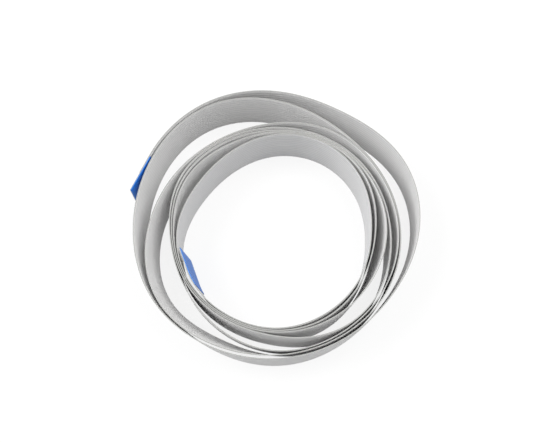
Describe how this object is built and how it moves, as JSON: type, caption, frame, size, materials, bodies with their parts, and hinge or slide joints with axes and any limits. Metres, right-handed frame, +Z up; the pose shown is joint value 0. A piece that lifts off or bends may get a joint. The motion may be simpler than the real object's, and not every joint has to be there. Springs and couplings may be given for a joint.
{
  "type": "flat flex cable",
  "caption": "Thin flat ribbon cable with parallel conductors, coiled loosely on its edge, with a blue stiffened contact tab at each end.",
  "frame": {"origin": "under the middle of the coil's box, on the surface that the coil stands on", "axes": "+Z up, along the width of the ribbon; -Y is the front; the ribbon runs clockwise and inwards seen from above"},
  "size_m": [0.0573, 0.0548, 0.013],
  "materials": {
    "polyester_film": "satin polyester film, faintly ribbed along the conductors",
    "blue_polyester": "smooth blue polyester sheet",
    "hot_melt_adhesive": "clear hot-melt adhesive",
    "tinned_copper": "rolled flat, tin plated"
  },
  "bodies": {
    "root": {"inner_film": "polyester_film", "outer_film": "polyester_film", "edge_bonds": "hot_melt_adhesive", "conductor_01": "tinned_copper", "conductor_02": "tinned_copper", "conductor_03": "tinned_copper", "conductor_04": "tinned_copper", "conductor_05": "tinned_copper", "conductor_06": "tinned_copper", "conductor_07": "tinned_copper", "conductor_08": "tinned_copper", "conductor_09": "tinned_copper", "conductor_10": "tinned_copper", "conductor_11": "tinned_copper", "conductor_12": "tinned_copper", "outer_end_adhesive": "hot_melt_adhesive", "outer_end_stiffener": "blue_polyester", "inner_end_adhesive": "hot_melt_adhesive", "inner_end_stiffener": "blue_polyester"}
  },
  "joints": []
}
